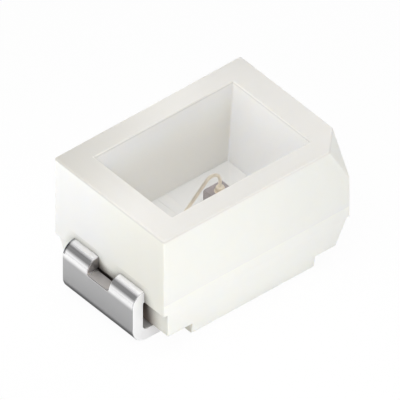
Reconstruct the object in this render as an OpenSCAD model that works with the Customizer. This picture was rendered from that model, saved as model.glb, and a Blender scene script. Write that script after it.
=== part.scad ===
// Surface-mount LED: a white reflector housing moulded round a two-part lead frame, with the chip,
// its bond wire and a clear casting in the cup.
// Millimetres. +X runs along the body to the end with the corner mark, +Z up.
// The origin is under the middle of the body, at the solder side of the feet.

/* [Housing] */
// Length of the moulded body, without the leads
body_length = 2.0; // [1.8:0.05:2.4]
// Width of the moulded body
body_width = 1.4; // [1.25:0.05:1.8]
// Height of the body's top above the board
body_height = 1.225; // [1.1:0.025:1.5]
// Height of the mould's parting plane, which is the underside of the lead frame
parting_height = 0.405; // [0.36:0.005:0.48]
// Radius of the upright edges of the upper body
edge_radius = 0.015; // [0.01:0.005:0.06]
// How far the lower body's ends stand back behind the upper body's
end_step = 0.04; // [0.02:0.005:0.08]
// Draft angle of the lower body's sides, in degrees
lower_draft = 8; // [2:0.5:12]
// Length of the belly that reaches down between the two feet
belly_length = 1.32; // [1.1:0.02:1.5]
// Clearance between the belly and the board
belly_clearance = 0.015; // [0.005:0.005:0.05]
// Clearance between a foot and the recess above and beside it
foot_clearance = 0.015; // [0.005:0.005:0.03]
// Diameter of the gate dimple in the belly
gate_diameter = 0.3; // [0.15:0.05:0.5]
// Depth of the gate dimple
gate_depth = 0.03; // [0.01:0.005:0.06]

/* [Corner mark] */
// Length that the slanted polarity cut takes off each top edge
mark_side = 0.225; // [0.1:0.005:0.23]
// How far down the corner the polarity cut reaches
mark_drop = 0.41; // [0.2:0.01:0.6]
// Length that the cut under the same corner takes off each side at the foot recess
heel_side = 0.12; // [0.05:0.01:0.2]
// Height over which the lower cut runs out
heel_rise = 0.27; // [0.05:0.01:0.3]

/* [Reflector cup] */
// Length of the window in the top face
window_length = 1.5; // [1.3:0.05:1.6]
// Width of the window in the top face
window_width = 1.0; // [0.8:0.05:1.1]
// Lean of the cup's end walls, in degrees
end_wall_lean = 12; // [4:1:16]
// Lean of the cup's long walls, in degrees
side_wall_lean = 9; // [4:1:14]
// How far the clear casting stays below the rim
fill_gap = 0.01; // [0.005:0.005:0.05]

/* [Lead frame] */
// Thickness of the lead frame's sheet
sheet = 0.115; // [0.09:0.005:0.13]
// Width of each lead
lead_width = 0.9; // [0.7:0.05:1.1]
// Inner radius of the bend where a lead leaves the body
shoulder_radius = 0.01; // [0.005:0.005:0.04]
// Inner radius of the bend above a foot
heel_radius = 0.045; // [0.02:0.005:0.06]
// Width of the slot in the middle of the upper bend
slot_width = 0.27; // [0.2:0.01:0.45]
// How far the slot reaches into the housing, where the plastic locks into it
slot_inset = 0.14; // [0.08:0.01:0.2]
// How far the slot reaches down from the top of the sheet
slot_drop = 0.13; // [0.12:0.005:0.2]
// Radius in the slot's corners
slot_corner = 0.03; // [0.02:0.005:0.09]
// Gap between the two halves of the frame in the cup's floor
frame_gap = 0.1; // [0.06:0.01:0.14]
// Place of the middle of that gap, from the middle of the body towards the marked end
frame_gap_place = -0.11; // [-0.15:0.01:-0.05]

/* [Chip] */
// Side of the square chip
chip_side = 0.2; // [0.15:0.01:0.26]
// Height of the chip
chip_height = 0.14; // [0.1:0.01:0.2]
// Place of the chip's middle, from the middle of the body towards the marked end
chip_place = 0.19; // [0.15:0.01:0.3]
// Thickness of the adhesive under the chip
bond_line = 0.01; // [0.005:0.005:0.02]
// How far the adhesive's fillet spreads beyond the chip
fillet_spread = 0.035; // [0.02:0.005:0.06]
// How far the fillet climbs the chip's sides
fillet_climb = 0.03; // [0.02:0.005:0.06]
// Diameter of the round contact on the chip
contact_diameter = 0.1; // [0.09:0.005:0.13]
// Thickness of that contact
contact_thickness = 0.005; // [0.003:0.001:0.01]

/* [Bond wire] */
// Diameter of the wire
wire_diameter = 0.03; // [0.02:0.005:0.04]
// Diameter of the ball bond
ball_diameter = 0.08; // [0.06:0.005:0.085]
// Height of the pressed ball
ball_height = 0.04; // [0.025:0.005:0.05]
// Height of the wire's middle line at the top of the loop, above the contact
loop_height = 0.2; // [0.17:0.005:0.3]
// Radius of the loop's bend over the chip
loop_radius = 0.09; // [0.05:0.005:0.1]
// Slope of the wire's straight run, in degrees
wire_slope = 43; // [35:1:55]
// Radius of the wire's bend where it lands
landing_radius = 0.06; // [0.03:0.005:0.1]
// Length of the stitch bond
stitch_length = 0.06; // [0.04:0.005:0.09]
// Width of the stitch bond
stitch_width = 0.05; // [0.04:0.005:0.07]
// Thickness of the stitch bond at its tail
stitch_tail = 0.008; // [0.004:0.001:0.012]

/* [Hidden] */
$fn = 96;

// Room that a cutting body has past the face it cuts
cut_margin = 0.05;
// Larger than the body in every direction
cut_block = 2 * max(body_length, body_width, body_height);

frame_top = parting_height + sheet;
shoulder_outer = shoulder_radius + sheet;
heel_outer = heel_radius + sheet;
leg_face = body_length / 2 + shoulder_outer;
foot_tip = belly_length / 2 + foot_clearance;
recess_height = sheet + foot_clearance;

cathode_inner = frame_gap_place + frame_gap / 2;
anode_inner = frame_gap / 2 - frame_gap_place;

glue_top = frame_top + fillet_climb;
chip_base = frame_top + bond_line;
chip_top = chip_base + chip_height;
contact_top = chip_top + contact_thickness;

// The wire lies in the plane Y = 0. These are [x, z] points on its middle line.
loop_middle = [chip_place - loop_radius, contact_top + loop_height - loop_radius];
run_start = loop_middle + loop_radius * [-sin(wire_slope), cos(wire_slope)];
landing_height = frame_top + wire_diameter / 2;
run_end_height = landing_height + landing_radius * (1 - cos(wire_slope));
run_length = (run_start[1] - run_end_height) / sin(wire_slope);
run_end = run_start - run_length * [cos(wire_slope), sin(wire_slope)];
landing_middle = [run_end[0] - landing_radius * sin(wire_slope), landing_height + landing_radius];

function inset(height, angle) = height * tan(angle);

// A block with four leaning sides. bottom and top are [length, width] at the heights low and high.
module tapered_block(bottom, top, low, high) {
    intersection() {
        rotate([90, 0, 0])
            linear_extrude(height = cut_block, center = true)
                polygon([[-bottom[0] / 2, low], [bottom[0] / 2, low], [top[0] / 2, high], [-top[0] / 2, high]]);
        rotate([90, 0, 90])
            linear_extrude(height = cut_block, center = true)
                polygon([[-bottom[1] / 2, low], [bottom[1] / 2, low], [top[1] / 2, high], [-top[1] / 2, high]]);
    }
}

// A rectangle with round corners, about the origin
module rounded_rectangle(length, width, radius) {
    square([length - 2 * radius, width], center = true);
    square([length, width - 2 * radius], center = true);
    for (x = [-1, 1], y = [-1, 1])
        translate([x * (length / 2 - radius), y * (width / 2 - radius)])
            circle(r = radius);
}

// Everything outside a slanting plane at the marked corner. The plane passes through the point at,
// and leans inwards by lean degrees, going up for a positive lean and down for a negative one.
module corner_cut(at, lean) {
    translate(at)
        rotate([0, 0, -45])
            rotate([0, -lean, 0])
                translate([0, -cut_block / 2, -cut_block / 2])
                    cube(cut_block);
}

// Space inside the reflector cup, from the lead frame up to the height top
module cup_space(top) {
    floor_inset = [inset(body_height - frame_top, end_wall_lean), inset(body_height - frame_top, side_wall_lean)];
    top_inset = [inset(body_height - top, end_wall_lean), inset(body_height - top, side_wall_lean)];
    window = [window_length, window_width];
    tapered_block(window - 2 * floor_inset, window - 2 * top_inset, frame_top, top);
}

module upper_body() {
    difference() {
        translate([0, 0, parting_height])
            linear_extrude(height = body_height - parting_height)
                rounded_rectangle(body_length, body_width, edge_radius);
        corner_cut([body_length / 2, -body_width / 2, body_height - mark_drop],
                   atan(mark_side / sqrt(2) / mark_drop));
    }
}

module lower_body() {
    shoulder = [body_length - 2 * end_step, body_width];
    drafted = inset(parting_height - belly_clearance, lower_draft);
    cut_start = recess_height + heel_rise;
    start_inset = inset(parting_height - cut_start, lower_draft);
    difference() {
        tapered_block(shoulder - [2 * drafted, 2 * drafted], shoulder, belly_clearance, parting_height);
        corner_cut([shoulder[0] / 2 - start_inset, start_inset - shoulder[1] / 2, cut_start],
                   -atan(heel_side / sqrt(2) / heel_rise));
        for (end = [0, 1])
            mirror([end, 0, 0])
                translate([belly_length / 2, -body_width / 2 - cut_margin, -cut_margin])
                    cube([body_length, body_width + 2 * cut_margin, recess_height + cut_margin]);
        translate([0, 0, -cut_margin])
            cylinder(d = gate_diameter, h = belly_clearance + gate_depth + cut_margin);
    }
}

// The slot through the flat sheet, inside the housing
module slot_in_sheet() {
    slot_start = body_length / 2 - slot_inset;
    translate([0, 0, parting_height - cut_margin])
        linear_extrude(height = sheet + 2 * cut_margin) {
            translate([slot_start + slot_corner, -slot_width / 2])
                square([slot_inset - slot_corner, slot_width]);
            translate([slot_start, slot_corner - slot_width / 2])
                square([slot_inset, slot_width - 2 * slot_corner]);
            for (y = [-1, 1])
                translate([slot_start + slot_corner, y * (slot_width / 2 - slot_corner)])
                    circle(r = slot_corner);
        }
}

// The slot's other end, which opens the upper bend and ends in round corners
module slot_in_bend() {
    slot_floor = frame_top - slot_drop;
    translate([body_length / 2, 0, 0])
        rotate([90, 0, 90])
            linear_extrude(height = shoulder_outer + cut_margin) {
                translate([-slot_width / 2, slot_floor + slot_corner])
                    square([slot_width, slot_drop - slot_corner + cut_margin]);
                translate([slot_corner - slot_width / 2, slot_floor])
                    square([slot_width - 2 * slot_corner, slot_drop]);
                for (y = [-1, 1])
                    translate([y * (slot_width / 2 - slot_corner), slot_floor + slot_corner])
                        circle(r = slot_corner);
            }
}

// One half of the flat frame, from the cup to the place reach, with its locking slot
module frame_sheet(inner, reach) {
    difference() {
        translate([inner, -lead_width / 2, parting_height])
            cube([reach - inner, lead_width, sheet]);
        slot_in_sheet();
    }
}

// A quarter of a ring, in the quadrant of positive x and positive y
module quarter_ring(outer, inner) {
    intersection() {
        difference() {
            circle(r = outer);
            circle(r = inner);
        }
        square(outer);
    }
}

// Side view of the lead outside the body: shoulder, leg, heel and foot
module lead_outline() {
    translate([body_length / 2, frame_top - shoulder_outer])
        quarter_ring(shoulder_outer, shoulder_radius);
    translate([leg_face - sheet, heel_outer])
        square([sheet, frame_top - shoulder_outer - heel_outer]);
    translate([leg_face - heel_outer, heel_outer])
        mirror([0, 1])
            quarter_ring(heel_outer, heel_radius);
    translate([foot_tip, 0])
        square([leg_face - heel_outer - foot_tip, sheet]);
}

module lead(inner) {
    frame_sheet(inner, body_length / 2);
    difference() {
        rotate([90, 0, 0])
            linear_extrude(height = lead_width, center = true)
                lead_outline();
        slot_in_bend();
    }
}

// White moulded body with the reflector cup
module housing() {
    color("whitesmoke")
        difference() {
            union() {
                upper_body();
                lower_body();
            }
            cup_space(body_height + cut_margin);
            frame_sheet(cathode_inner, body_length / 2 + cut_margin);
            mirror([1, 0, 0])
                frame_sheet(anode_inner, body_length / 2 + cut_margin);
        }
}

// Lead at the marked end, which carries the chip
module cathode_lead() {
    color("silver")
        lead(cathode_inner);
}

// Lead at the other end, which takes the wire
module anode_lead() {
    color("silver")
        mirror([1, 0, 0])
            lead(anode_inner);
}

// The chip's own block, which also cuts its place in the adhesive and the casting
module chip_block() {
    translate([chip_place - chip_side / 2, -chip_side / 2, chip_base])
        cube([chip_side, chip_side, chip_height]);
}

// The adhesive with its fillet, as if the chip were not in it
module glue_block() {
    spread = chip_side + 2 * fillet_spread;
    translate([chip_place, 0, 0])
        tapered_block([spread, spread], [chip_side, chip_side], frame_top, glue_top);
}

module chip_adhesive() {
    color("lightgray")
        difference() {
            glue_block();
            chip_block();
        }
}

module led_chip() {
    color("dimgray")
        chip_block();
}

module bond_pad() {
    color("khaki")
        translate([chip_place, 0, chip_top])
            cylinder(d = contact_diameter, h = contact_thickness);
}

// Part of a wire bend about the point middle, from the angle start over the angle sweep
module wire_bend(middle, radius, start, sweep) {
    translate([middle[0], 0, middle[1]])
        rotate([90, 0, 0])
            rotate([0, 0, start])
                rotate_extrude(angle = sweep)
                    translate([radius, 0])
                        circle(d = wire_diameter);
}

// Gold wire: pressed ball, upright neck, loop, straight run, landing bend and flat stitch
module bond_wire() {
    stitch_start = landing_middle[0];
    color("gold") {
        translate([chip_place, 0, contact_top + ball_height / 2])
            intersection() {
                sphere(d = ball_diameter);
                cube([ball_diameter, ball_diameter, ball_height], center = true);
            }
        translate([chip_place, 0, contact_top + ball_height / 2])
            cylinder(d = wire_diameter, h = loop_middle[1] - contact_top - ball_height / 2);
        wire_bend(loop_middle, loop_radius, 0, 90 + wire_slope);
        translate([run_end[0], 0, run_end[1]])
            rotate([0, 90 - wire_slope, 0])
                cylinder(d = wire_diameter, h = run_length);
        wire_bend(landing_middle, landing_radius, 270, wire_slope);
        translate([0, stitch_width / 2, 0])
            rotate([90, 0, 0])
                linear_extrude(height = stitch_width)
                    polygon([[stitch_start, frame_top], [stitch_start, frame_top + wire_diameter],
                             [stitch_start - stitch_length, frame_top + stitch_tail],
                             [stitch_start - stitch_length, frame_top]]);
    }
}

// Clear casting that fills the cup round the chip and the wire
module encapsulant() {
    color("aliceblue", 0.3)
        difference() {
            cup_space(body_height - fill_gap);
            glue_block();
            chip_block();
            bond_pad();
            bond_wire();
        }
}

housing();
cathode_lead();
anode_lead();
chip_adhesive();
led_chip();
bond_pad();
bond_wire();
encapsulant();
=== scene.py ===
"""Looks of a surface-mount LED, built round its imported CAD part.

Blender runs this file as a script. It is laid out as an add-on: an operator makes each piece or
group of like pieces, and a panel in the sidebar lists them. Shapes are worked out in millimetres,
in the CAD part's own frame, and each finished piece is brought to metres at its end.
"""

import math

import bmesh
import bpy
from bpy.props import FloatProperty, FloatVectorProperty, IntProperty, PointerProperty
from mathutils import Matrix, Vector


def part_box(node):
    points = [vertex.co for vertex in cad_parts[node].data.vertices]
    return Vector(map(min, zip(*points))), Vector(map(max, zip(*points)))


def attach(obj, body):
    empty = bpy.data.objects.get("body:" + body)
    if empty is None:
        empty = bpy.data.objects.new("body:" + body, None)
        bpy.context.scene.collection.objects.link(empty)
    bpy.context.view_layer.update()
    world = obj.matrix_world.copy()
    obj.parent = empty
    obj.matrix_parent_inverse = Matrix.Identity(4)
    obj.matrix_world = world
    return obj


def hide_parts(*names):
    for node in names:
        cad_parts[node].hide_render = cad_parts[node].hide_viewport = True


bl_info = {
    "name": "Surface-mount LED",
    "version": (1, 0, 0),
    "blender": (4, 5, 0),
    "location": "View3D > Sidebar > LED",
    "description": "Makes the visible pieces of a surface-mount LED round its CAD part",
    "category": "Object",
}

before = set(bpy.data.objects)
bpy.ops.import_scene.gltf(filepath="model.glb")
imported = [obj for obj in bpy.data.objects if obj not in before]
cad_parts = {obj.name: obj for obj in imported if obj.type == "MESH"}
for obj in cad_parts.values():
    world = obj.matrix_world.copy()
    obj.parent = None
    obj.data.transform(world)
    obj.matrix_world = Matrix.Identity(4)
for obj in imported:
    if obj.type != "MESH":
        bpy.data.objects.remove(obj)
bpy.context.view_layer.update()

MM = 0.001
BODY = "root"


def node_box(name):
    """Lowest and highest corner of a CAD node, in millimetres."""
    low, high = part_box(name)
    return Vector(low) / MM, Vector(high) / MM


HOUSING_LOW, HOUSING_HIGH = node_box("housing")
_, ANODE_HIGH = node_box("anode_lead")
CATHODE_LOW, CATHODE_HIGH = node_box("cathode_lead")
GLUE_LOW, GLUE_HIGH = node_box("chip_adhesive")
CHIP_LOW, CHIP_HIGH = node_box("led_chip")
PAD_LOW, PAD_HIGH = node_box("bond_pad")
_, CASTING_HIGH = node_box("encapsulant")

FRAME_TOP = CATHODE_HIGH.z

# Two places nearer than this count as touching, and two nearer than the second value as one, in millimetres
TOUCHING = 1e-3
SAME = 1e-5


def length(name, description, default, **more):
    """A property that holds a length. Its default is given in millimetres."""
    return FloatProperty(name=name, description=description, default=default * MM, min=0.0,
                         subtype="DISTANCE", unit="LENGTH", precision=6, **more)


def angle(name, description, default):
    """A property that holds an angle. Its default is given in degrees."""
    return FloatProperty(name=name, description=description, default=math.radians(default),
                         min=0.0, max=math.pi, subtype="ANGLE", unit="ROTATION")


def colour(name, description, default):
    """A property that holds a colour, as linear red, green and blue."""
    return FloatVectorProperty(name=name, description=description, default=default, size=3,
                               min=0.0, max=1.0, subtype="COLOR")


def share(name, description, default, high=1.0):
    """A property without a unit."""
    return FloatProperty(name=name, description=description, default=default, min=0.0, max=high)


class LED_HousingSettings(bpy.types.PropertyGroup):
    """Sizes and colour of the moulded housing"""
    sheet: length("Sheet", "Thickness of the lead frame, whose underside is the parting plane", 0.115)
    end_step: length("End step", "How far the lower body's ends stand back", 0.04)
    draft: angle("Draft", "Draft angle of the lower body's sides", 8)
    belly_length: length("Belly length", "Length of the belly between the feet", 1.32)
    foot_clearance: length("Foot clearance", "Room between a foot and its recess", 0.015)
    gate_diameter: length("Gate diameter", "Diameter of the gate dimple", 0.3)
    gate_depth: length("Gate depth", "Depth of the gate dimple", 0.03)
    mark_side: length("Mark side", "Length that the corner mark takes off each top edge", 0.225)
    mark_drop: length("Mark drop", "How far down the corner mark reaches", 0.41)
    heel_side: length("Heel side", "Length that the cut under the mark takes off each side", 0.12)
    heel_rise: length("Heel rise", "Height over which that cut runs out", 0.27)
    window_length: length("Window length", "Length of the window in the top face", 1.5)
    window_width: length("Window width", "Width of the window in the top face", 1.0)
    end_lean: angle("End wall lean", "Lean of the cup's end walls", 12)
    side_lean: angle("Long wall lean", "Lean of the cup's long walls", 9)
    corner_radius: length("Corner radius", "Radius of the upper body's upright edges", 0.015)
    cup_radius: length("Cup radius", "Radius in the cup's upright corners", 0.015)
    rim_radius: length("Rim radius", "Radius of the edges round the top face", 0.012)
    window_radius: length("Window radius", "Radius of the edges round the window", 0.004)
    edge_radius: length("Edge radius", "Radius of the other visible edges", 0.009)
    crevice: length("Crevice", "How far the shade of a crevice reaches", 0.17)
    tint: colour("Colour", "Colour of the white plastic", (0.912, 0.915, 0.865))
    # Painted shade: the colour that stands for the shade deep in a crevice beside a lead
    crevice_tint: colour("Crevice colour", "Colour of the plastic deep in a crevice", (0.112, 0.090, 0.078))
    cup_tint: colour("Cup colour", "Colour of the plastic in the polished cup", (0.985, 0.968, 0.922))
    # Painted shade: the top face's colour is darker than the walls', standing in for less light on it
    top_tint: colour("Top colour", "Colour of the plastic on the duller top face", (0.727, 0.714, 0.685))


class LED_LeadSettings(bpy.types.PropertyGroup):
    """Sizes and colours of the two leads"""
    shoulder_radius: length("Shoulder radius", "Inner radius of the bend at the body", 0.01)
    heel_radius: length("Heel radius", "Inner radius of the bend above a foot", 0.045)
    slot_width: length("Slot width", "Width of the slot over the upper bend", 0.27)
    slot_inset: length("Slot inset", "How far the slot reaches into the housing", 0.14)
    slot_drop: length("Slot drop", "How far the slot reaches down the leg", 0.13)
    slot_corner: length("Slot corner", "Radius in the slot's corners", 0.03)
    edge_radius: length("Edge radius", "Radius of the stamped edges", 0.009)
    bend_steps: IntProperty(name="Bend steps", description="Facets in each bend", default=28, min=8, max=64)
    tint: colour("Colour", "Colour of the silver plating", (0.955, 0.95, 0.955))
    # Painted shade: the leg, heel, inner, slot and corner colours are darker copies of the plating that stand
    # in for shade and dark reflections
    leg_tint: colour("Leg colour", "Colour of the plating on the upright leg", (0.485, 0.485, 0.49))
    heel_tint: colour("Heel colour", "Colour of the plating under the heel", (0.30, 0.30, 0.305))
    inner_tint: colour("Inner colour", "Colour of the duller faces towards the housing", (0.06, 0.06, 0.06))
    crevice: length("Crevice", "How far the shade of a crevice reaches", 0.12)
    slot_tint: colour("Slot colour", "Colour of the dull edges in the slot", (0.66, 0.63, 0.62))
    corner_tint: colour("Corner colour", "Colour of the rounded corners along the strip", (0.40, 0.40, 0.41))
    cup_tint: colour("Cup colour", "Colour of the matt silver spot in the cup", (0.935, 0.935, 0.93))
    cup_dullness: share("Cup dullness", "How far the spot in the cup lacks a metal's reflection", 0.8)
    edge_dullness: share("Edge dullness", "How far the cut edges lack a metal's reflection", 0.78)
    crown_dullness: share("Crown dullness", "The same for the top of the upper bend", 0.75)
    burr_dullness: share("Burr dullness", "The same for the burr beside the upper bend", 0.35)
    slot_dullness: share("Slot dullness", "The same for the sides of the slot", 0.14)
    edge_tint: colour("Edge colour", "Colour of the plated cut edges", (0.97, 0.97, 0.98))


class LED_ChipSettings(bpy.types.PropertyGroup):
    """Sizes and colours of the chip, its contact and its adhesive"""
    chip_corner: length("Chip corner", "Radius of the chip's upright edges", 0.004)
    mesa_step: length("Mesa step", "How far the chip's top layer stands back", 0.004)
    mesa_height: length("Mesa height", "Thickness of the chip's top layer", 0.012)
    pad_edge: length("Pad edge", "Radius of the contact's top edge", 0.002)
    chip_tint: colour("Chip colour", "Colour of the chip", (0.235, 0.195, 0.20))
    glue_tint: colour("Adhesive colour", "Colour of the silver-filled adhesive", (0.52, 0.51, 0.49))


class LED_WireSettings(bpy.types.PropertyGroup):
    """Sizes and colour of the bond wire"""
    diameter: length("Diameter", "Diameter of the wire", 0.03)
    ball_diameter: length("Ball diameter", "Diameter of the ball bond", 0.08)
    ball_height: length("Ball height", "Height of the pressed ball", 0.04)
    loop_height: length("Loop height", "Height of the loop's middle line over the contact", 0.2)
    loop_radius: length("Loop radius", "Radius of the loop's bend over the chip", 0.09)
    slope: angle("Slope", "Slope of the wire's straight run", 43)
    landing_radius: length("Landing radius", "Radius of the bend where the wire lands", 0.06)
    stitch_length: length("Stitch length", "Length of the stitch bond", 0.06)
    stitch_width: length("Stitch width", "Width of the stitch bond", 0.05)
    stitch_tail: length("Stitch tail", "Thickness of the stitch bond at its end", 0.008)
    sides: IntProperty(name="Sides", description="Facets round the wire", default=24, min=8, max=48)
    tint: colour("Colour", "Colour of the gold", (0.93, 0.82, 0.65))


class LED_CastingSettings(bpy.types.PropertyGroup):
    """Sizes and finish of the clear casting"""
    dip: length("Dip", "How far the middle of the casting's surface sinks", 0.012)
    gap: length("Gap", "Room between the casting and the cup", 0.001)
    gloss: share("Gloss", "How much of the surface's reflection shows", 0.3)
    haze: share("Haze", "How milky the casting looks", 0.15)


class LED_StudioSettings(bpy.types.PropertyGroup):
    """Camera, floor and lamps"""
    azimuth: FloatProperty(name="Azimuth", description="Camera's azimuth; 0 looks along +Y",
                           default=math.radians(-40.0), subtype="ANGLE", unit="ROTATION")
    elevation: angle("Elevation", "Camera's height above the horizon", 40.6)
    view_width: length("View width", "Width of the picture at the object", 3.2906)
    floor_size: length("Floor size", "Side of the floor", 80.0)
    floor_tint: colour("Floor colour", "Colour of the floor", (0.96, 0.96, 0.96))
    whiteness: share("Whiteness", "How far the seen floor is plain white instead of lit", 0.96)
    mirrored_whiteness: share("Mirrored whiteness", "The same for the floor in reflections", 0.2)
    ambient: share("Ambient", "Strength of the room's own light", 0.300, high=5.0)
    walls: share("Walls", "Strength of the walls of the room that the metal mirrors", 0.235)


def close_between(shape, low, high):
    """Closes the space between two loops of as many vertices with four-cornered faces."""
    for i, corner in enumerate(low):
        following = (i + 1) % len(low)
        shape.faces.new((corner, low[following], high[following], high[i]))


def solid(sections):
    """A closed solid through outlines of the same count of points. A section is (outline, height)."""
    shape = bmesh.new()
    rings = [[shape.verts.new((x, y, height)) for x, y in outline] for outline, height in sections]
    shape.faces.new(reversed(rings[0]))
    shape.faces.new(rings[-1])
    for low, high in zip(rings, rings[1:]):
        close_between(shape, low, high)
    return shape


def rectangle(low_x, high_x, low_y, high_y):
    """Corner points of a rectangle, anticlockwise from its lowest corner."""
    return [(low_x, low_y), (high_x, low_y), (high_x, high_y), (low_x, high_y)]


def centred(half_x, half_y):
    """Corner points of a rectangle about the origin."""
    return rectangle(-half_x, half_x, -half_y, half_y)


def rounded(low_x, high_x, low_y, high_y, radius, steps):
    """Outline of a rectangle with round corners, anticlockwise."""
    points = []
    middles = [(high_x - radius, low_y + radius, -90), (high_x - radius, high_y - radius, 0),
               (low_x + radius, high_y - radius, 90), (low_x + radius, low_y + radius, 180)]
    for x, y, start in middles:
        for step in range(steps + 1):
            turn = math.radians(start + 90 * step / steps)
            points.append((x + radius * math.cos(turn), y + radius * math.sin(turn)))
    return points


def circle_points(radius, count):
    """Points of a circle about the origin, anticlockwise."""
    return [(radius * math.cos(2 * math.pi * i / count), radius * math.sin(2 * math.pi * i / count))
            for i in range(count)]


def bisect(shape, point, normal, **more):
    """Divides the shape's faces along a plane."""
    everything = shape.verts[:] + shape.edges[:] + shape.faces[:]
    return bmesh.ops.bisect_plane(shape, geom=everything, plane_co=point, plane_no=normal, **more)


def slice_off(shape, point, normal):
    """Takes off what lies beyond a plane and closes the cut."""
    cut = bisect(shape, point, normal, clear_outer=True)
    rim = [part for part in cut["geom_cut"] if isinstance(part, bmesh.types.BMEdge)]
    bmesh.ops.contextual_create(shape, geom=rim)


def face_outwards(shape):
    """Turns the shape's faces so that they all point outwards."""
    bmesh.ops.recalc_face_normals(shape, faces=shape.faces)


def new_object(name, data):
    """A new object in the scene that holds a mesh, a camera or a lamp."""
    made = bpy.data.objects.new(name, data)
    bpy.context.scene.collection.objects.link(made)
    return made


def object_of(name, shape):
    """A new object that holds the shape."""
    mesh = bpy.data.meshes.new(name)
    shape.to_mesh(mesh)
    shape.free()
    return new_object(name, mesh)


def reshape(piece, change):
    """Runs a change on the piece's mesh, opened as a shape."""
    shape = bmesh.new()
    shape.from_mesh(piece.data)
    change(shape)
    shape.to_mesh(piece.data)
    shape.free()


def settle(piece):
    """Takes the piece's modifiers into its mesh."""
    graph = bpy.context.evaluated_depsgraph_get()
    mesh = bpy.data.meshes.new_from_object(piece.evaluated_get(graph), preserve_all_data_layers=True,
                                           depsgraph=graph)
    piece.modifiers.clear()
    old = piece.data
    piece.data = mesh
    bpy.data.meshes.remove(old)


def combine(piece, other, operation):
    """Joins another object to the piece or cuts it away, and removes the other object."""
    change = piece.modifiers.new("combine", "BOOLEAN")
    change.object = other
    change.operation = operation
    change.solver = "EXACT"
    settle(piece)
    mesh = other.data
    bpy.data.objects.remove(other)
    bpy.data.meshes.remove(mesh)


def ring_faces(shape, outer, inner):
    """Closes the flat ring between two loops of vertices, both anticlockwise as their faces see them.
    A face runs along each outer side, between the inner vertices nearest to its two ends."""
    nearest = [min(range(len(inner)), key=lambda i: (inner[i].co - corner.co).length) for corner in outer]
    for i, corner in enumerate(outer):
        following = (i + 1) % len(outer)
        first, last = nearest[i], nearest[following]
        path = [inner[last]]
        while last != first:
            last = (last - 1) % len(inner)
            path.append(inner[last])
        shape.faces.new([corner, outer[following]] + path)


def smooth(piece, sharpest):
    """Shades the piece smooth across edges flatter than this many degrees."""
    piece.data.shade_smooth()
    piece.data.set_sharp_from_angle(angle=math.radians(sharpest))


def even_normals(piece):
    """Lets the large faces set the shading, so that flat faces stay flat beside their round edges."""
    weighted = piece.modifiers.new("even normals", "WEIGHTED_NORMAL")
    weighted.weight = 100
    weighted.keep_sharp = True
    settle(piece)


def finish_piece(piece, node, finish):
    """Brings the piece to metres, gives it its finish and fits it to the frame."""
    piece.data.transform(Matrix.Scale(MM, 4))
    piece.data.materials.clear()
    piece.data.materials.append(finish)
    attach(piece, BODY)
    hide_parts(node)


def set_inputs(tree, node, **values):
    """Gives a node's inputs a value or a link each. An input goes by its name, or by _ and its number."""
    for key, value in values.items():
        socket = node.inputs[int(key[1:])] if key[0] == "_" else node.inputs[key.replace("_", " ")]
        if isinstance(value, bpy.types.NodeSocket):
            tree.links.new(value, socket)
        else:
            socket.default_value = value


def add_node(tree, kind, settings=None, **values):
    """Adds a node, and sets its own settings and its inputs."""
    made = tree.nodes.new(kind)
    for key, value in (settings or {}).items():
        setattr(made, key, value)
    set_inputs(tree, made, **values)
    return made


def math_node(tree, operation, *values):
    """The result of a Math node over values or links."""
    return add_node(tree, "ShaderNodeMath", {"operation": operation},
                    **{f"_{i}": value for i, value in enumerate(values)}).outputs[0]


def new_finish(name):
    """A new material with its tree, its main shader and its Object coordinates."""
    finish = bpy.data.materials.new(name)
    finish.use_nodes = True
    tree = finish.node_tree
    place = tree.nodes.new("ShaderNodeTexCoord").outputs["Object"]
    return finish, tree, tree.nodes["Principled BSDF"], place


def grain(tree, place, size, detail=2.0, stretch=(1, 1, 1), seed=0.0):
    """Noise whose features have about this size in millimetres, stretched along the axes."""
    spread = add_node(tree, "ShaderNodeMapping", Vector=place, Scale=[1 / s for s in stretch],
                      Location=[seed * MM] * 3)
    return add_node(tree, "ShaderNodeTexNoise", Vector=spread.outputs["Vector"],
                    Scale=1 / (size * MM), Detail=detail).outputs["Fac"]


def fade(tree, value, start, end, low=0.0, high=1.0):
    """Goes from low to high while the value goes from start to end."""
    return add_node(tree, "ShaderNodeMapRange", _0=value, _1=start, _2=end, _3=low, _4=high).outputs[0]


def ranged(tree, pattern, low, high):
    """A noise pattern's middle range, spread from low to high."""
    return fade(tree, pattern, 0.3, 0.7, low, high)


def blend_colours(tree, factor, first, second):
    """Goes from the first colour to the second with the factor. Each is a colour or a link."""
    made = add_node(tree, "ShaderNodeMix", {"data_type": "RGBA"}, _0=factor)
    for socket, value in ((made.inputs[6], first), (made.inputs[7], second)):
        if isinstance(value, bpy.types.NodeSocket):
            tree.links.new(value, socket)
        else:
            socket.default_value = (*value, 1)
    return made.outputs[2]


def tinted(colour_value, *factors):
    """A colour made lighter or darker by one factor, or by one each for red, green and blue."""
    return tuple(min(1.0, c * factor) for c, factor in zip(colour_value, factors * (3 // len(factors))))


def layered(tree, tint, *layers):
    """Lays colours over a first one. A layer is where it shows, and its colour."""
    for where, colour_value in layers:
        tint = blend_colours(tree, where, tint, colour_value)
    return tint


def varied(tree, pattern, colour_value, low, high):
    """A colour that a pattern makes darker and lighter, between two factors."""
    return blend_colours(tree, ranged(tree, pattern, 0, 1), tinted(colour_value, low),
                         tinted(colour_value, high))


def dress(tree, shader, tint, roughness, height, depth):
    """Gives the shader its colour, its roughness and a height pattern of this depth in millimetres."""
    bump = add_node(tree, "ShaderNodeBump", Strength=1.0, Distance=depth * MM, Height=height)
    set_inputs(tree, shader, Base_Color=tint, Roughness=roughness, Normal=bump.outputs["Normal"])


def mix_shaders(tree, factor, first, second):
    """Goes from the first shader to the second with the factor."""
    return add_node(tree, "ShaderNodeMixShader", _0=factor, _1=first, _2=second).outputs[0]


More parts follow.
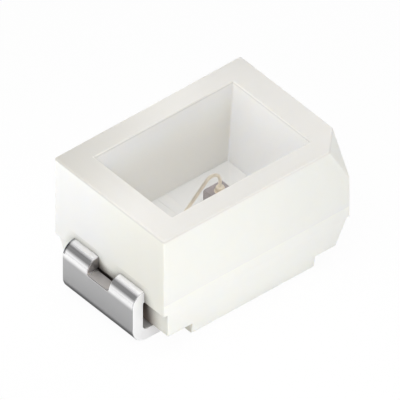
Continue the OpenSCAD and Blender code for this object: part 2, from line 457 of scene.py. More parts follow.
def parts_of(tree, vector):
    """The three parts of a vector link."""
    return add_node(tree, "ShaderNodeSeparateXYZ", _0=vector).outputs


def over(tree, value, level):
    """1 where the value is over the level, otherwise 0."""
    return math_node(tree, "GREATER_THAN", value, level)


def under(tree, value, level):
    """1 where the value is under the level, otherwise 0."""
    return math_node(tree, "LESS_THAN", value, level)


def beyond(tree, value, level):
    """1 where the value's size is over the level, otherwise 0."""
    return over(tree, math_node(tree, "ABSOLUTE", value), level)


def product(tree, first, *others):
    """The product of values or links."""
    for value in others:
        first = math_node(tree, "MULTIPLY", first, value)
    return first


def highest(tree, first, *others):
    """The highest of values or links."""
    for value in others:
        first = math_node(tree, "MAXIMUM", first, value)
    return first


def inverse(tree, value):
    """1 less the value."""
    return math_node(tree, "SUBTRACT", 1.0, value)


def crevice_shade(tree, reach, low, high):
    """0 deep in a crevice and 1 in the open. Reach is in metres, low and high are openness."""
    open_share = add_node(tree, "ShaderNodeAmbientOcclusion", {"samples": 8}, Distance=reach).outputs["AO"]
    return fade(tree, open_share, low, high)


# In the finishes, along, across and up are the parts of a face's normal, from -1 to 1. Places are written in
# millimetres times MM. The numbers beside a tint are the factors that make it darker or lighter there.

# A face whose normal leans further than this towards an axis counts as facing along it
FACING = 0.7


def plastic_finish(settings):
    """White moulded plastic: a fine spark-eroded grain, light scattered just under the surface. Painted light
    makes the long sides lighter below the frame's top, and painted shade darkens the end walls towards the
    marked corner's side. The cup is polished, with painted shade on its long walls low down. The top face is
    darker as painted shade, with painted shade and highlight across it, and a crevice beside a lead has a
    dark, warm painted shade."""
    finish, tree, shader, place = new_finish("white moulded plastic")
    x, y, z = parts_of(tree, place)
    along, across, _ = parts_of(tree, add_node(tree, "ShaderNodeNewGeometry").outputs["True Normal"])
    on_side = beyond(tree, across, FACING)
    margin = 0.005 * MM
    past_ends = beyond(tree, x, settings.window_length / 2 + margin)
    out_of_cup = highest(tree, past_ends, beyond(tree, y, settings.window_width / 2 + margin))

    # The walls: painted light makes the long sides lighter below the frame's top, and painted shade makes the
    # ends darker towards -Y
    low = product(tree, under(tree, z, FRAME_TOP * MM), on_side)
    end = blend_colours(tree, fade(tree, y, 0.25 * MM, -0.35 * MM), tinted(settings.tint, 1.04),
                        tinted(settings.tint, 0.98, 0.97, 0.945))
    tint = layered(tree, varied(tree, grain(tree, place, 0.45, detail=3), settings.tint, 0.985, 1.0),
                   (low, tinted(settings.tint, 1.075, 1.085, 1.02)), (beyond(tree, along, FACING), end))

    # The cup, with painted shade on its long walls from 0.1 to 0.35 under the top face
    top = HOUSING_HIGH.z
    deep = product(tree, fade(tree, z, (top - 0.1) * MM, (top - 0.35) * MM), on_side)
    cup = blend_colours(tree, deep, settings.cup_tint, tinted(settings.cup_tint, 0.88))
    tint = blend_colours(tree, out_of_cup, cup, tint)

    # The top face, darker as painted shade: darkest at the corner across from the mark, and with painted
    # highlight palest at the mark and paler at the window's edge. It runs from 0.03 to 0.012 under the top
    # into the colour of the walls.
    to_mark = math_node(tree, "SUBTRACT", product(tree, x, 0.7), y)
    top_light_and_shade = blend_colours(tree, fade(tree, to_mark, -1.3 * MM, -0.4 * MM),
                         tinted(settings.top_tint, 0.83, 0.825, 0.805), tinted(settings.top_tint, 0.995))
    top_light_and_shade = layered(tree, top_light_and_shade, (fade(tree, to_mark, -0.2 * MM, 1.2 * MM), tinted(settings.top_tint, 1.13)))
    top_light_and_shade = blend_colours(tree, out_of_cup, tinted(settings.top_tint, 1.07), top_light_and_shade)
    tint = layered(tree, tint, (fade(tree, z, (top - 0.03) * MM, (top - 0.012) * MM), top_light_and_shade))

    # Painted shade in the crevices beside the leads, paler towards their lower end, and narrower towards the
    # frame's top
    reach = fade(tree, z, (FRAME_TOP - 0.15) * MM, FRAME_TOP * MM, settings.crevice, settings.crevice * 0.6)
    beside_lead = product(tree, past_ends, under(tree, z, (FRAME_TOP + 0.06) * MM))
    shade = highest(tree, crevice_shade(tree, reach, 0.35, 0.97), inverse(tree, beside_lead))
    dark = blend_colours(tree, fade(tree, z, 0.22 * MM, 0.38 * MM), tinted(settings.crevice_tint, 2.6),
                         settings.crevice_tint)
    tint = blend_colours(tree, shade, dark, tint)

    fine = product(tree, grain(tree, place, 0.02, detail=2, seed=3), out_of_cup)
    dress(tree, shader, tint, ranged(tree, fine, 0.42, 0.56), fine, 0.0006)
    set_inputs(tree, shader, Subsurface_Weight=1.0, Subsurface_Radius=(1.0, 0.95, 0.85),
               Subsurface_Scale=0.018 * MM, Specular_IOR_Level=0.4)
    return finish


def plating_finish(settings):
    """Silver plating: rolling lines across the strip, upright legs and heels darkened as painted shade, and
    paler cut edges. Beside the upper bends, the edge towards +Y has a painted dark reflection, and the edge
    towards -Y a pale burr that is a painted highlight. The slot is dull and darkened as painted shade, and
    the spot in the cup is matt."""
    finish, tree, shader, place = new_finish("silver plating")
    x, y, z = parts_of(tree, place)
    normals = add_node(tree, "ShaderNodeNewGeometry").outputs
    along, across, _ = parts_of(tree, normals["True Normal"])
    up = parts_of(tree, normals["Normal"])["Z"]

    # Where each part of the leads is, as a share from 0 to 1
    flat = over(tree, up, 0.5)
    cut_edge = beyond(tree, across, 0.8)
    inwards = under(tree, product(tree, along, math_node(tree, "SIGN", x)), -0.3)
    under_slot = under(tree, z, FRAME_TOP * MM - settings.slot_drop - 0.006 * MM)
    off_slot = highest(tree, beyond(tree, y, settings.slot_width / 2 + 0.004 * MM), under_slot)
    foot_top = product(tree, under(tree, z, 0.2 * MM), over(tree, up, 0.1))
    in_cup = product(tree, under(tree, math_node(tree, "ABSOLUTE", x), 0.8 * MM),
                     over(tree, z, (FRAME_TOP - 0.01) * MM))
    # Painted shade: the upright leg takes the darker leg colour, darker low down
    upright = product(tree, fade(tree, z, (FRAME_TOP - 0.108) * MM, (FRAME_TOP - 0.146) * MM),
                      under(tree, up, 0.3))
    # Painted shade: faces that turn down under the heel take the darker heel colour
    heel = fade(tree, up, -0.03, -0.30)
    half = CATHODE_HIGH.y
    # Painted shade: faces that look up darken towards +Y
    far = product(tree, over(tree, up, 0.8), fade(tree, y, -half * MM, half * MM))
    on_bend = product(tree, over(tree, up, 0.25), over(tree, z, (FRAME_TOP - 0.15) * MM))
    # Painted dark reflection on the rounded edge towards +Y beside the upper bend, and a painted highlight on
    # the pale burr towards -Y
    painted_dark_edge = product(tree, on_bend, fade(tree, y, (half - 0.032) * MM, (half - 0.014) * MM))
    burr = product(tree, on_bend, fade(tree, y, (0.014 - half) * MM, (0.006 - half) * MM))

    # The colours of these parts. The leg, heel, inner faces, rounded corners, far side and the edge towards
    # +Y are darkened as painted shade and painted dark reflections, and the burr is paler as a painted
    # highlight. Painted shade also darkens the slot, its deep places and the faces that look down, but the
    # slot's flat by 0.43 at most.
    lines = grain(tree, place, 0.02, detail=3, stretch=(1, 14, 1))
    leg = blend_colours(tree, fade(tree, z, 0.16 * MM, 0.36 * MM), tinted(settings.leg_tint, 0.95),
                        tinted(settings.leg_tint, 1.06))
    inner = blend_colours(tree, fade(tree, up, 0.1, 0.6), settings.inner_tint, settings.edge_tint)
    tint = layered(tree, varied(tree, lines, settings.tint, 0.96, 1.03), (upright, leg),
                   (heel, settings.heel_tint), (inwards, inner),
                   (beyond(tree, across, 0.3), settings.corner_tint), (cut_edge, settings.edge_tint),
                   (far, tinted(settings.tint, 0.82)), (painted_dark_edge, tinted(settings.corner_tint, 0.55)),
                   (burr, tinted(settings.edge_tint, 0.85)))
    slot = blend_colours(tree, flat, settings.slot_tint, tinted(settings.slot_tint, 0.68))
    tint = blend_colours(tree, off_slot, slot, tint)
    # Painted shade: an ambient-occlusion mask darkens the slot and the faces that look down
    open_part = product(tree, off_slot, highest(tree, over(tree, up, -0.02), cut_edge))
    shade = highest(tree, crevice_shade(tree, settings.crevice, 0.0, 0.55), open_part,
                    product(tree, flat, 0.57))
    tint = blend_colours(tree, shade, tinted(settings.slot_tint, 0.18), tint)
    tint = blend_colours(tree, in_cup, tint, settings.cup_tint)

    # Dull places reflect like a pale solid instead of a metal. The matt spot and the cut edges are rougher.
    dull = product(tree, highest(tree, inwards, cut_edge, foot_top), off_slot, settings.edge_dullness)
    slot_side = product(tree, inverse(tree, off_slot), under(tree, up, 0.5))
    dull = highest(tree, dull, product(tree, slot_side, settings.slot_dullness),
                   product(tree, burr, settings.burr_dullness),
                   fade(tree, up, 0.88, 0.96, high=settings.crown_dullness),
                   product(tree, in_cup, settings.cup_dullness))
    rough = ranged(tree, grain(tree, place, 0.25, detail=2, seed=5), 0.09, 0.13)
    for where, value in ((in_cup, 0.7), (cut_edge, 0.3)):
        rough = add_node(tree, "ShaderNodeMix", {"data_type": "FLOAT"}, _0=where, _2=rough,
                         _3=value).outputs[0]
    dress(tree, shader, tint, rough, lines, 0.00012)
    set_inputs(tree, shader, Metallic=inverse(tree, dull), Specular_Tint=(0.35, 0.35, 0.35, 1))
    return finish


def chip_finish(settings):
    """Dark semiconductor with fine saw marks round its sides."""
    finish, tree, shader, place = new_finish("semiconductor")
    saw = grain(tree, place, 0.01, detail=2, stretch=(6, 6, 1))
    tint = varied(tree, saw, settings.chip_tint, 0.8, 1.2)
    dress(tree, shader, tint, ranged(tree, saw, 0.3, 0.45), saw, 0.0005)
    return finish


def glue_finish(settings):
    """Silver-filled adhesive: metal flakes in a dull grey resin."""
    finish, tree, shader, place = new_finish("silver-filled adhesive")
    flakes = grain(tree, place, 0.006, detail=3)
    tint = varied(tree, flakes, settings.glue_tint, 0.75, 1.2)
    dress(tree, shader, tint, ranged(tree, flakes, 0.35, 0.6), flakes, 0.002)
    set_inputs(tree, shader, Metallic=0.5)
    return finish


def gold_finish(settings):
    """Soft drawn gold with faint lengthwise marks."""
    finish, tree, shader, place = new_finish("gold")
    marks = grain(tree, place, 0.008, detail=2, stretch=(5, 1, 5))
    tint = varied(tree, marks, settings.tint, 0.93, 1.05)
    dress(tree, shader, tint, ranged(tree, marks, 0.28, 0.34), marks, 0.0001)
    set_inputs(tree, shader, Metallic=1.0)
    return finish


def casting_finish(settings):
    """Clear resin: light passes straight through, and only the top surface is faintly milky and glossy."""
    finish, tree, shader, place = new_finish("clear casting")
    tree.nodes.remove(shader)
    normal = add_node(tree, "ShaderNodeNewGeometry").outputs["True Normal"]
    on_top = over(tree, parts_of(tree, normal)["Z"], 0.5)
    ripple = grain(tree, place, 0.4, detail=1)
    milk = mix_shaders(tree, 0.5, *[add_node(tree, kind, Color=(0.95, 0.94, 0.915, 1)).outputs[0] for kind
                                    in ("ShaderNodeBsdfDiffuse", "ShaderNodeBsdfTranslucent")])
    haze = product(tree, on_top, ranged(tree, ripple, settings.haze * 0.95, settings.haze * 1.05))
    clear = mix_shaders(tree, haze, add_node(tree, "ShaderNodeBsdfTransparent").outputs[0], milk)
    gloss = add_node(tree, "ShaderNodeBsdfGlossy", Roughness=ranged(tree, ripple, 0.05, 0.12)).outputs[0]
    mirroring = product(tree, add_node(tree, "ShaderNodeFresnel", IOR=1.45).outputs[0], on_top,
                        settings.gloss)
    both = mix_shaders(tree, mirroring, clear, gloss)
    set_inputs(tree, tree.nodes["Material Output"], Surface=both)
    return finish


def own_properties(settings):
    """The properties that a group declares itself."""
    return [prop for prop in settings.bl_rna.properties if prop.identifier not in ("rna_type", "name")]


def in_mm(settings):
    """The settings' lengths in millimetres and its other values as they are, by name."""
    values = {}
    for prop in own_properties(settings):
        value = getattr(settings, prop.identifier)
        values[prop.identifier] = value / MM if getattr(prop, "unit", "") == "LENGTH" else value
    return type("Sizes", (), values)


def corner_plane_normal(lean):
    """Normal of a plane that cuts the marked corner and leans by this angle."""
    return Vector((math.sqrt(0.5) * math.cos(lean), -math.sqrt(0.5) * math.cos(lean), math.sin(lean)))


def slotted_outline(inner, outer, half_width, size):
    """Outline of a flat lead half from inner to outer, with its locking slot open at outer."""
    half_slot = size.slot_width / 2
    radius = size.slot_corner
    middle_x = HOUSING_HIGH.x - size.slot_inset + radius
    steps = 8
    points = [(inner, -half_width), (outer, -half_width), (outer, -half_slot), (middle_x, -half_slot)]
    for middle_y, start in ((radius - half_slot, 270), (half_slot - radius, 180)):
        for step in range(1, steps + 1):
            turn = math.radians(start - 90 * step / steps)
            points.append((middle_x + radius * math.cos(turn), middle_y + radius * math.sin(turn)))
    return points + [(outer, half_slot), (outer, half_width), (inner, half_width)]


def cup_halves(height, housing, gap=0.0):
    """Half the cup's length and width at a height, less a gap to its walls."""
    depth = HOUSING_HIGH.z - height
    return (housing.window_length / 2 - depth * math.tan(housing.end_lean) - gap,
            housing.window_width / 2 - depth * math.tan(housing.side_lean) - gap)


def bearing(vertex):
    """A vertex's angle about the origin, seen from above."""
    return math.atan2(vertex.co.y, vertex.co.x)


class LED_OT_housing(bpy.types.Operator):
    """Makes the white moulded housing with its reflector cup"""
    bl_idname = "led.housing"
    bl_label = "Housing"

    def execute(self, context):
        settings = context.scene.led_housing
        size = in_mm(settings)
        lead = in_mm(context.scene.led_lead)
        margin, far = 0.05, 2.0
        piece = object_of("white_housing", self.upper_body(size))
        combine(piece, object_of("lower", self.lower_body(size)), "UNION")
        combine(piece, object_of("cup", self.cup_space(size)), "DIFFERENCE")
        for inner, side in ((CATHODE_LOW.x, 1), (-ANODE_HIGH.x, -1)):
            pocket = slotted_outline(inner, HOUSING_HIGH.x + margin, CATHODE_HIGH.y, lead)
            recess = rectangle(size.belly_length / 2, far, -far, far)
            for name, outline, low, high in (("sheet", pocket, FRAME_TOP - size.sheet, FRAME_TOP),
                                             ("recess", recess, -far / 2, size.sheet + size.foot_clearance)):
                if side < 0:
                    outline = [(-x, y) for x, y in reversed(outline)]
                combine(piece, object_of(name, solid([(outline, low), (outline, high)])), "DIFFERENCE")
        reshape(piece, lambda shape: self.clean(shape, size))
        self.round_edges(piece, size)
        finish_piece(piece, "housing", plastic_finish(settings))
        return {"FINISHED"}

    def upper_body(self, size):
        """The block over the parting plane, with the corner mark."""
        half = centred(HOUSING_HIGH.x, HOUSING_HIGH.y)
        shape = solid([(half, FRAME_TOP - size.sheet), (half, HOUSING_HIGH.z)])
        tip = Vector((HOUSING_HIGH.x, HOUSING_LOW.y, HOUSING_HIGH.z - size.mark_drop))
        slice_off(shape, tip, corner_plane_normal(math.atan(size.mark_side / math.sqrt(2) / size.mark_drop)))
        return shape

    def lower_body(self, size):
        """The drafted block under the parting plane, with the cut under the mark."""
        parting = FRAME_TOP - size.sheet
        half_x, half_y = HOUSING_HIGH.x - size.end_step, HOUSING_HIGH.y
        inset = (parting - HOUSING_LOW.z) * math.tan(size.draft)
        shape = solid([(centred(half_x - inset, half_y - inset), HOUSING_LOW.z),
                       (centred(half_x, half_y), parting)])
        start = size.sheet + size.foot_clearance + size.heel_rise
        inset = (parting - start) * math.tan(size.draft)
        tip = Vector((half_x - inset, inset - half_y, start))
        slice_off(shape, tip, corner_plane_normal(-math.atan(size.heel_side / math.sqrt(2) / size.heel_rise)))
        return shape

    def cup_space(self, size):
        """The space inside the cup, with a margin over the top face."""
        margin = 0.1
        return solid([(centred(*cup_halves(height, size)), height)
                      for height in (FRAME_TOP, HOUSING_HIGH.z + margin)])

    def clean(self, shape, size):
        """Joins the flat faces, and lays the top face and the belly anew, because they have holes."""
        bmesh.ops.remove_doubles(shape, verts=shape.verts, dist=SAME)
        bmesh.ops.dissolve_limit(shape, angle_limit=math.radians(0.5), verts=shape.verts, edges=shape.edges)
        rim = self.take_out(shape, HOUSING_HIGH.z)
        inner = [v for v in rim if self.in_window(v.co, size)]
        outer = [v for v in rim if v not in inner]
        ring_faces(shape, sorted(outer, key=bearing), sorted(inner, key=bearing))
        self.lay_belly(shape, size)
        face_outwards(shape)

    def take_out(self, shape, level):
        """Takes out the flat faces at a level, and gives the vertices that stay there."""
        old = [face for face in shape.faces if all(abs(v.co.z - level) < SAME for v in face.verts)]
        bmesh.ops.delete(shape, geom=old, context="FACES_KEEP_BOUNDARY")
        return [v for v in shape.verts if abs(v.co.z - level) < SAME]

    def in_window(self, place, size):
        """Whether a place lies in the window or on its edge, seen from above."""
        margin = 0.01
        return (abs(place.x) < size.window_length / 2 + margin
                and abs(place.y) < size.window_width / 2 + margin)

    def lay_belly(self, shape, size):
        """Lays the belly with the dimple of the gate in it. The dimple narrows towards its bottom."""
        low, narrowing, sides = HOUSING_LOW.z, 0.96, 48
        outer = sorted(self.take_out(shape, low), key=bearing, reverse=True)
        points = circle_points(size.gate_diameter / 2, sides)[::-1]
        rim = [shape.verts.new((x, y, low)) for x, y in points]
        deep = [shape.verts.new((x * narrowing, y * narrowing, low + size.gate_depth)) for x, y in points]
        ring_faces(shape, outer, rim)
        close_between(shape, deep, rim)
        shape.faces.new(deep)

    def round_edges(self, piece, size):
        """Gives each kind of edge its own radius."""
        widest = size.corner_radius

        def weigh(shape):
            weights = shape.edges.layers.float.new("bevel_weight_edge")
            for edge in shape.edges:
                if edge.is_manifold and edge.calc_face_angle() > math.radians(20):
                    edge[weights] = self.radius_of(edge, size) / widest

        reshape(piece, weigh)
        bevel = piece.modifiers.new("round edges", "BEVEL")
        bevel.limit_method = "WEIGHT"
        bevel.width = widest
        bevel.segments = 4
        bevel.use_clamp_overlap = False
        bevel.loop_slide = False
        settle(piece)
        smooth(piece, 40)
        self.keep_parting_line(piece, size)
        even_normals(piece)

    def radius_of(self, edge, size):
        """The radius of one edge of the sharp housing, from where it lies."""
        a, b = edge.verts[0].co, edge.verts[1].co
        middle = (a + b) / 2
        near = lambda value, target: abs(value - target) < TOUCHING
        in_cup = self.in_window(middle, size)
        if near(a.z, HOUSING_HIGH.z) and near(b.z, HOUSING_HIGH.z):
            return size.window_radius if in_cup else size.rim_radius
        if in_cup and max(a.z, b.z) > HOUSING_HIGH.z - TOUCHING:
            return size.cup_radius
        in_sheet = all(FRAME_TOP - size.sheet - TOUCHING < p.z < FRAME_TOP + TOUCHING for p in (a, b))
        if in_sheet and abs(middle.y) < CATHODE_HIGH.y + TOUCHING:
            return 0.0
        if all(near(abs(p.x), HOUSING_HIGH.x) and near(abs(p.y), HOUSING_HIGH.y) for p in (a, b)):
            return size.corner_radius
        return size.edge_radius

    def keep_parting_line(self, piece, size):
        """Keeps the shallow edge where the two halves of the mould met."""
        parting = FRAME_TOP - size.sheet
        mesh = piece.data
        sharp = mesh.attributes.get("sharp_edge") or mesh.attributes.new("sharp_edge", "BOOLEAN", "EDGE")
        for edge in mesh.edges:
            ends = [mesh.vertices[i].co for i in edge.vertices]
            if all(abs(p.z - parting) < TOUCHING and abs(p.y) > HOUSING_HIGH.y - TOUCHING for p in ends):
                sharp.data[edge.index].value = True


def new_tree(name, *inputs):
    """A geometry tree with these named inputs besides its geometry, and what its input node gives."""
    tree = bpy.data.node_groups.new(name, "GeometryNodeTree")
    for label, kind in (("Geometry", "Geometry"), *inputs):
        tree.interface.new_socket(label, in_out="INPUT", socket_type="NodeSocket" + kind)
    tree.interface.new_socket("Geometry", in_out="OUTPUT", socket_type="NodeSocketGeometry")
    return tree, tree.nodes.new("NodeGroupInput").outputs


def position_parts(tree):
    """The three parts of each point's position."""
    return parts_of(tree, tree.nodes.new("GeometryNodeInputPosition").outputs[0])


def move_points(tree, geometry, x, y, z):
    """Sets each point's position."""
    place = add_node(tree, "ShaderNodeCombineXYZ", X=x, Y=y, Z=z).outputs[0]
    return add_node(tree, "GeometryNodeSetPosition", Geometry=geometry, Position=place).outputs[0]


def end_tree(tree, geometry):
    """Makes this the geometry that the tree gives."""
    tree.links.new(geometry, tree.nodes.new("NodeGroupOutput").inputs[0])


def end_with_finish(tree, geometry, finish):
    """Ends a tree in Realize Instances and Set Material."""
    whole = add_node(tree, "GeometryNodeRealizeInstances", Geometry=geometry).outputs[0]
    end_tree(tree, add_node(tree, "GeometryNodeSetMaterial", Geometry=whole, Material=finish).outputs[0])


def apply_tree(piece, tree, **values):
    """Runs the tree on the piece with its inputs set by their sockets, and keeps the result as its mesh."""
    modifier = piece.modifiers.new(tree.name, "NODES")
    modifier.node_group = tree
    sockets = {item.name: item.identifier for item in tree.interface.items_tree if item.in_out == "INPUT"}
    for label, value in values.items():
        modifier[sockets[label.replace("_", " ")]] = value
    settle(piece)


def bend_group():
    """Node group that bends a flat sheet downwards round an axis across it, from Start onwards."""
    tree, given = new_tree("sheet bend", ("Start", "Float"), ("Outer Radius", "Float"))
    x, y, z = position_parts(tree)
    start, radius = given["Start"], given["Outer Radius"]
    run = math_node(tree, "SUBTRACT", x, start)
    turn = highest(tree, math_node(tree, "DIVIDE", run, radius), 0.0)
    turn = math_node(tree, "MINIMUM", turn, math.pi / 2)
    rest = math_node(tree, "SUBTRACT", run, product(tree, turn, radius))
    reach = math_node(tree, "ADD", radius, z)
    sine, cosine = math_node(tree, "SINE", turn), math_node(tree, "COSINE", turn)
    out = math_node(tree, "ADD", product(tree, reach, sine), product(tree, rest, cosine))
    up = math_node(tree, "SUBTRACT", product(tree, reach, cosine), product(tree, rest, sine))
    end_tree(tree, move_points(tree, given["Geometry"], math_node(tree, "ADD", out, start), y,
                               math_node(tree, "SUBTRACT", up, radius)))
    return tree


def lead_tree():
    """The tree that bends a stamped blank twice and sets it at the frame's level."""
    tree, given = new_tree("lead bends", ("Shoulder Start", "Float"), ("Shoulder Radius", "Float"),
                           ("Heel Start", "Float"), ("Heel Radius", "Float"), ("Place", "Vector"),
                           ("Finish", "Material"))
    group = bend_group()
    shape = given["Geometry"]
    for part in ("Heel", "Shoulder"):
        shape = add_node(tree, "GeometryNodeGroup", {"node_tree": group}, Geometry=shape,
                         Start=given[part + " Start"], Outer_Radius=given[part + " Radius"]).outputs[0]
    placed = add_node(tree, "GeometryNodeSetPosition", Geometry=shape, Offset=given["Place"]).outputs[0]
    end_with_finish(tree, placed, given["Finish"])
    return tree


class LED_OT_leads(bpy.types.Operator):
    """Makes the two leads: each is a stamped blank that is bent at the shoulder and at the heel"""
    bl_idname = "led.leads"
    bl_label = "Leads"

    def execute(self, context):
        settings = context.scene.led_lead
        size = in_mm(settings)
        sheet = context.scene.led_housing.sheet / MM
        finish = plating_finish(settings)
        tree = lead_tree()
        self.lead("plated_cathode", "cathode_lead", CATHODE_LOW.x, 1, size, sheet, tree, finish)
        self.lead("plated_anode", "anode_lead", -ANODE_HIGH.x, -1, size, sheet, tree, finish)
        return {"FINISHED"}

    def lead(self, name, node, inner, side, size, sheet, tree, finish):
        """One lead. It is cut across where it bends, so that the bends come out round."""
        shoulder, heel = size.shoulder_radius + sheet, size.heel_radius + sheet
        straight = HOUSING_HIGH.x - inner
        shoulder_end = straight + shoulder * math.pi / 2
        heel_start = shoulder_end + FRAME_TOP - shoulder - heel
        heel_end = heel_start + heel * math.pi / 2
        housing = in_mm(bpy.context.scene.led_housing)
        foot = CATHODE_HIGH.x - heel - housing.belly_length / 2 - housing.foot_clearance
        slot_end = shoulder_end + size.slot_drop - shoulder
        shape = self.blank(heel_end + foot, straight - size.slot_inset, slot_end, size, sheet)
        for start, end in ((straight, shoulder_end), (heel_start, heel_end)):
            for step in range(size.bend_steps + 1):
                place = start + (end - start) * step / size.bend_steps
                bisect(shape, (place, 0, 0), (1, 0, 0), dist=1e-6)
        piece = object_of(name, shape)
        smooth(piece, 50)
        apply_tree(piece, tree, Shoulder_Start=straight, Shoulder_Radius=shoulder, Heel_Start=heel_start,
                   Heel_Radius=heel, Place=(inner, 0.0, FRAME_TOP), Finish=finish)
        if side < 0:
            piece.data.transform(Matrix.Diagonal((-1, 1, 1, 1)))
            piece.data.flip_normals()
        even_normals(piece)
        finish_piece(piece, node, finish)

    def blank(self, reach, slot_start, slot_end, size, sheet):
        """The flat stamped blank with its slot. Its edges are rounded, and its upper face is at 0."""
        shape = bmesh.new()
        half, half_slot, edge = CATHODE_HIGH.y, size.slot_width / 2, size.edge_radius
        edge_steps, corner_steps = 4, 12
        profile = []
        for step in range(edge_steps + 1):
            turn = math.pi / 2 * step / edge_steps
            profile.append((edge * (1 - math.sin(turn)), edge * (math.cos(turn) - 1)))
        profile += [(inset, -sheet - depth) for inset, depth in reversed(profile)]
        outer, slot = [], []
        for inset, depth in profile:
            outline = rectangle(inset, reach - inset, inset - half, half - inset)
            outer.append([shape.verts.new((x, y, depth)) for x, y in outline])
            outline = rounded(slot_start - inset, slot_end + inset, -half_slot - inset, half_slot + inset,
                              size.slot_corner + inset, corner_steps)
            slot.append([shape.verts.new((x, y, depth)) for x, y in outline])
        for rings in (outer, slot):
            for high, low in zip(rings, rings[1:]):
                close_between(shape, low, high)
        ring_faces(shape, outer[0], slot[0])
        ring_faces(shape, outer[-1][::-1], slot[-1][::-1])
        face_outwards(shape)
        return shape


class LED_OT_chip(bpy.types.Operator):
    """Makes the chip, its round contact and the adhesive that holds it"""
    bl_idname = "led.chip"
    bl_label = "Chip"

    def execute(self, context):
        settings = context.scene.led_chip
        size = in_mm(settings)
        self.chip(size, chip_finish(settings))
        self.contact(size, gold_finish(context.scene.led_wire))
        self.adhesive(size, glue_finish(settings))
        return {"FINISHED"}

    def square(self, inset, radius, steps=4):
        """Outline of the chip, moved inwards."""
        return rounded(CHIP_LOW.x + inset, CHIP_HIGH.x - inset, CHIP_LOW.y + inset, CHIP_HIGH.y - inset,
                       radius, steps)

    def chip(self, size, finish):
        """The cube with its rounded foot and its slightly smaller top layer."""
        top, low = CHIP_HIGH.z, CHIP_LOW.z
        edge = size.chip_corner / 2
        body, mesa = size.chip_corner, size.chip_corner + size.mesa_step
        ledge = top - size.mesa_height
        levels = [(edge, body - edge / 2, low), (0, body, low + edge), (0, body, ledge - edge / 2),
                  (edge / 2, body, ledge), (size.mesa_step, mesa, ledge),
                  (size.mesa_step, mesa, top - edge / 2), (size.mesa_step + edge / 2, mesa, top)]
        sections = [(self.square(inset, radius), height) for inset, radius, height in levels]
        piece = object_of("semiconductor_chip", solid(sections))
        smooth(piece, 40)
        even_normals(piece)
        finish_piece(piece, "led_chip", finish)

    def contact(self, size, finish):
        """The round contact on the chip, with its top edge rounded over one step between."""
        middle = (PAD_LOW + PAD_HIGH) / 2
        radius, sides = PAD_HIGH.x - middle.x, 64
        edge, between = size.pad_edge, size.pad_edge * 0.3
        sections = []
        for inset, height in ((0, PAD_LOW.z), (0, PAD_HIGH.z - edge), (between, PAD_HIGH.z - between),
                              (edge, PAD_HIGH.z)):
            outline = [(middle.x + x, middle.y + y) for x, y in circle_points(radius - inset, sides)]
            sections.append((outline, height))
        piece = object_of("gold_contact", solid(sections))
        smooth(piece, 50)
        even_normals(piece)
        finish_piece(piece, "bond_pad", finish)

    def adhesive(self, size, finish):
        """A low bed under the chip with a hollow fillet up its sides. Its edge wanders a little."""
        spread = CHIP_LOW.x - GLUE_LOW.x
        climb = GLUE_HIGH.z - GLUE_LOW.z
        middle = (CHIP_LOW + CHIP_HIGH) / 2
        corner, under_chip, depth_of_waves = size.chip_corner, 0.02, 0.10
        steps, corner_steps = 10, 8
        sections = []
        for step in range(steps + 1):
            turn = math.pi / 2 * step / steps
            out = spread * (1 - math.sin(turn))
            height = GLUE_LOW.z + climb * (1 - math.cos(turn))
            outline = []
            for x, y in self.square(-out, corner + out, steps=corner_steps):
                around = math.atan2(y - middle.y, x - middle.x)
                wave = 0.5 + 0.5 * math.sin(3 * around + 1) * math.cos(5 * around)
                waver = 1 - depth_of_waves * (out / spread) * wave
                base_x = min(max(x, CHIP_LOW.x), CHIP_HIGH.x)
                base_y = min(max(y, CHIP_LOW.y), CHIP_HIGH.y)
                outline.append((base_x + (x - base_x) * waver, base_y + (y - base_y) * waver))
            sections.append((outline, height))
        sections.append((self.square(under_chip, corner, steps=corner_steps), GLUE_HIGH.z - climb / 3))
        piece = object_of("adhesive_bed", solid(sections))
        smooth(piece, 60)
        finish_piece(piece, "chip_adhesive", finish)


# Where the pressed ball runs over into the wire: the height over the ball in millimetres, and the
# thickness there as a share of the wire's own
NECK = ((0.0012, 1.75), (0.003, 1.35), (0.0065, 1.1), (0.012, 1.0))

# The share of the stitch's widening that the wire has at the end of its landing bend
LANDING_SPREAD = 0.6


def wire_tree():
    """The tree that sweeps a round section along the wire's path and presses the stitch flat."""
    tree, given = new_tree("bond wire", ("Wire Diameter", "Float"), ("Sides", "Int"),
                           ("Landing Level", "Float"), ("Finish", "Material"))
    path = add_node(tree, "GeometryNodeMeshToCurve", Mesh=given["Geometry"]).outputs[0]
    section = add_node(tree, "GeometryNodeCurvePrimitiveCircle", Resolution=given["Sides"],
                       Radius=product(tree, given["Wire Diameter"], 0.5)).outputs[0]
    girth, press, spread = [add_node(tree, "GeometryNodeInputNamedAttribute", {"data_type": "FLOAT"},
                                     Name=name).outputs[0] for name in ("girth", "press", "spread")]
    swept = add_node(tree, "GeometryNodeCurveToMesh", Curve=path, Profile_Curve=section, Scale=girth,
                     Fill_Caps=True).outputs[0]
    x, y, z = position_parts(tree)
    level = given["Landing Level"]
    height = product(tree, math_node(tree, "SUBTRACT", z, level), press)
    shape = move_points(tree, swept, x, product(tree, y, spread), math_node(tree, "ADD", height, level))
    end_with_finish(tree, shape, given["Finish"])
    return tree


